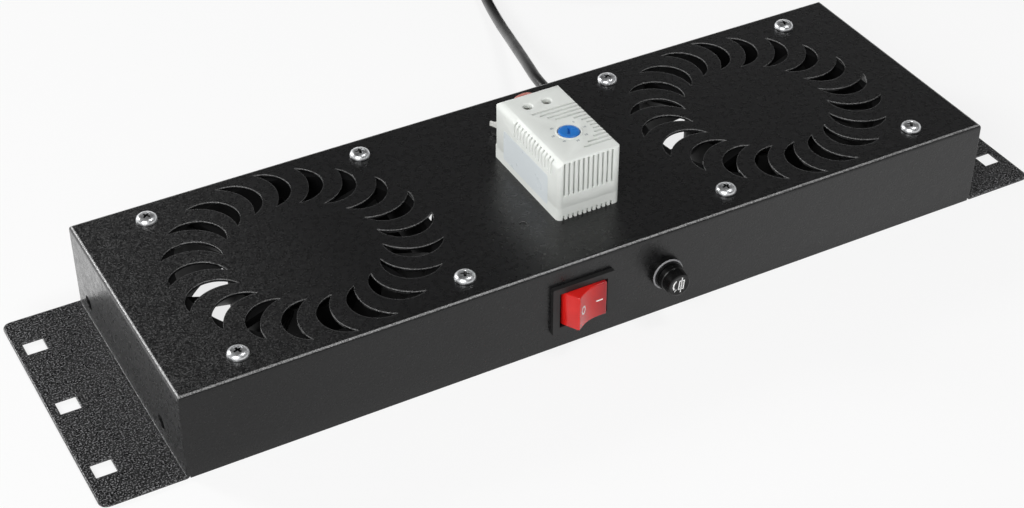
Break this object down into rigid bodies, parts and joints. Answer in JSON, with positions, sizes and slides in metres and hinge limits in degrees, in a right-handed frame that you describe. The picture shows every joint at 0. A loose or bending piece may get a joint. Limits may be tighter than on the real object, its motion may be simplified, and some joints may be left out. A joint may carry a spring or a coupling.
{
  "type": "rack fan tray",
  "caption": "Bent steel rack panel with two axial fans behind rings of crescent slots, a dial thermostat, a rocker switch, a fuse holder and a coiled mains lead.",
  "frame": {"origin": "middle of the panel on the underside of its rack ears, midway between the six square rack holes", "axes": "+X along the panel's 19-inch width, +Y towards the wall where the mains lead leaves, +Z out of the deck, away from the rack rails"},
  "size_m": [0.4872, 0.3652, 0.0755],
  "materials": {
    "powder_coat": "fine-textured black powder coat",
    "fan_metal": "black painted die-cast frame",
    "impeller_plastic": "moulded black",
    "bare_steel": "plain steel",
    "motor_winding": "laminations and copper winding",
    "zinc_steel": "bright zinc plate",
    "thermostat_plastic": "light grey-white moulding",
    "dial_plastic": "blue moulding",
    "inner_plastic": "plain moulding",
    "brass": "plain",
    "switch_plastic": "fine matt",
    "rocker_plastic": "translucent red",
    "holder_plastic": "black moulding",
    "fuse_glass": "clear",
    "nickel": "nickel plate",
    "cord_rubber": "matt black",
    "tie_plastic": "black nylon",
    "white_tie": "natural nylon",
    "block_plastic": "natural nylon",
    "wire_brown": "insulation",
    "wire_blue": "insulation",
    "wire_green": "insulation, green and yellow",
    "wire_red": "insulation",
    "wire_black": "insulation"
  },
  "bodies": {
    "tray": {"bearings_left": "bare_steel", "bearings_right": "bare_steel", "bimetal_strip": "bare_steel", "cord_coil": "cord_rubber", "cord_lead": "cord_rubber", "cord_sheath_end": "cord_rubber", "cord_strain_relief": "cord_rubber", "cord_tail": "cord_rubber", "cord_tie": "tie_plastic", "earth_lug": "nickel", "earth_nuts": "zinc_steel", "earth_stud": "zinc_steel", "fan_bolts": "zinc_steel", "fan_frame_left": "fan_metal", "fan_frame_right": "fan_metal", "fan_leads": "wire_black", "fan_nuts": "zinc_steel", "fuse_holder_body": "holder_plastic", "fuse_holder_nut": "holder_plastic", "fuse_terminals": "brass", "hole_plug": "holder_plastic", "housing": "powder_coat", "plug_body": "cord_rubber", "plug_pins": "nickel", "stator_left": "motor_winding", "stator_right": "motor_winding", "switch_body": "switch_plastic", "switch_terminals": "brass", "terminal_block": "block_plastic", "terminal_block_screws": "zinc_steel", "thermostat_base": "thermostat_plastic", "thermostat_clamp_screws": "zinc_steel", "thermostat_clamps": "brass", "thermostat_cover": "thermostat_plastic", "thermostat_dial_post": "inner_plastic", "thermostat_fixing_screws": "zinc_steel", "thermostat_wire_black": "wire_black", "thermostat_wire_red": "wire_red", "wire_blue": "wire_blue", "wire_earth": "wire_green", "wire_grommet": "cord_rubber", "wire_tie": "white_tie", "wires_brown": "wire_brown"},
    "left_rotor": {"impeller_left": "impeller_plastic", "rotor_ring_left": "bare_steel", "shaft_left": "bare_steel"},
    "right_rotor": {"impeller_right": "impeller_plastic", "rotor_ring_right": "bare_steel", "shaft_right": "bare_steel"},
    "rocker": {"switch_rocker": "rocker_plastic"},
    "dial": {"thermostat_dial": "dial_plastic"},
    "fuse_carrier": {"fuse_glass": "fuse_glass", "fuse_ferrules": "nickel"},
    "fuse_knob": {"fuse_cap": "holder_plastic"}
  },
  "joints": [
    {"name": "left_fan_spin", "type": "hinge", "parent": "tray", "child": "left_rotor", "pos_m": [-0.1195, 0, 0.024], "axis": [0, 0, 1], "continuous": true},
    {"name": "right_fan_spin", "type": "hinge", "parent": "tray", "child": "right_rotor", "pos_m": [0.1195, 0, 0.024], "axis": [0, 0, 1], "continuous": true},
    {"name": "rocker_throw", "type": "hinge", "parent": "tray", "child": "rocker", "pos_m": [-0.0165, -0.0633, 0.022], "axis": [0, 0, 1], "range_deg": [-32, 0]},
    {"name": "dial_turn", "type": "hinge", "parent": "tray", "child": "dial", "pos_m": [0.005, -0.016, 0.07], "axis": [0, 0, 1], "range_deg": [-135, 135]},
    {"name": "fuse_pull", "type": "slide", "parent": "tray", "child": "fuse_carrier", "axis": [0, -1, 0], "range_m": [0, 0.032]},
    {"name": "cap_turn", "type": "hinge", "parent": "fuse_carrier", "child": "fuse_knob", "pos_m": [0.0272, -0.0683, 0.022], "axis": [0, -1, 0], "range_deg": [0, 60]}
  ]
}
